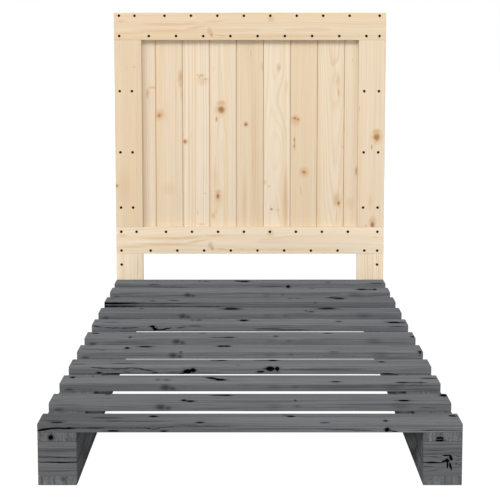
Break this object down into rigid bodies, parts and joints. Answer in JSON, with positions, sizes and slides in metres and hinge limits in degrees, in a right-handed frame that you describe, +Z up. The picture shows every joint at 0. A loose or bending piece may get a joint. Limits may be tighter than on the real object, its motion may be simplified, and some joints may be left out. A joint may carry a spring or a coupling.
{
  "type": "bed frame with headboard",
  "caption": "Low pallet-style single bed frame: slats on two blocked skids, with a boarded headboard bolted to their head ends.",
  "frame": {"origin": "middle of the overall box, on the floor", "axes": "+Y from the foot of the bed to the headboard, +X to the right seen from the foot, +Z up"},
  "size_m": [1, 2.04, 1.141],
  "materials": {
    "grey_pine": "grey-stained sawn pine, matt",
    "natural_pine": "planed pine, untreated",
    "black_screw": "black phosphated steel",
    "zinc_steel": "zinc-plated steel"
  },
  "bodies": {
    "root": {"block_screws": "zinc_steel", "bottom_rail_screws": "black_screw", "coach_screws": "zinc_steel", "coach_washers": "zinc_steel", "headboard_bottom_rail": "natural_pine", "headboard_top_rail": "natural_pine", "left_back_post": "natural_pine", "left_block_1": "grey_pine", "left_block_2": "grey_pine", "left_block_3": "grey_pine", "left_block_4": "grey_pine", "left_block_5": "grey_pine", "left_leg": "natural_pine", "left_runner": "grey_pine", "left_stile": "natural_pine", "left_stringer": "grey_pine", "leg_screws": "black_screw", "panel_board_1": "natural_pine", "panel_board_2": "natural_pine", "panel_board_3": "natural_pine", "panel_board_4": "natural_pine", "panel_board_5": "natural_pine", "panel_board_6": "natural_pine", "panel_board_7": "natural_pine", "panel_board_8": "natural_pine", "panel_board_9": "natural_pine", "right_back_post": "natural_pine", "right_block_1": "grey_pine", "right_block_2": "grey_pine", "right_block_3": "grey_pine", "right_block_4": "grey_pine", "right_block_5": "grey_pine", "right_leg": "natural_pine", "right_runner": "grey_pine", "right_stile": "natural_pine", "right_stringer": "grey_pine", "slat_01": "grey_pine", "slat_02": "grey_pine", "slat_03": "grey_pine", "slat_04": "grey_pine", "slat_05": "grey_pine", "slat_06": "grey_pine", "slat_07": "grey_pine", "slat_08": "grey_pine", "slat_09": "grey_pine", "slat_10": "grey_pine", "slat_11": "grey_pine", "slat_screws": "zinc_steel", "stile_screws": "black_screw", "top_rail_screws": "black_screw"}
  },
  "joints": []
}
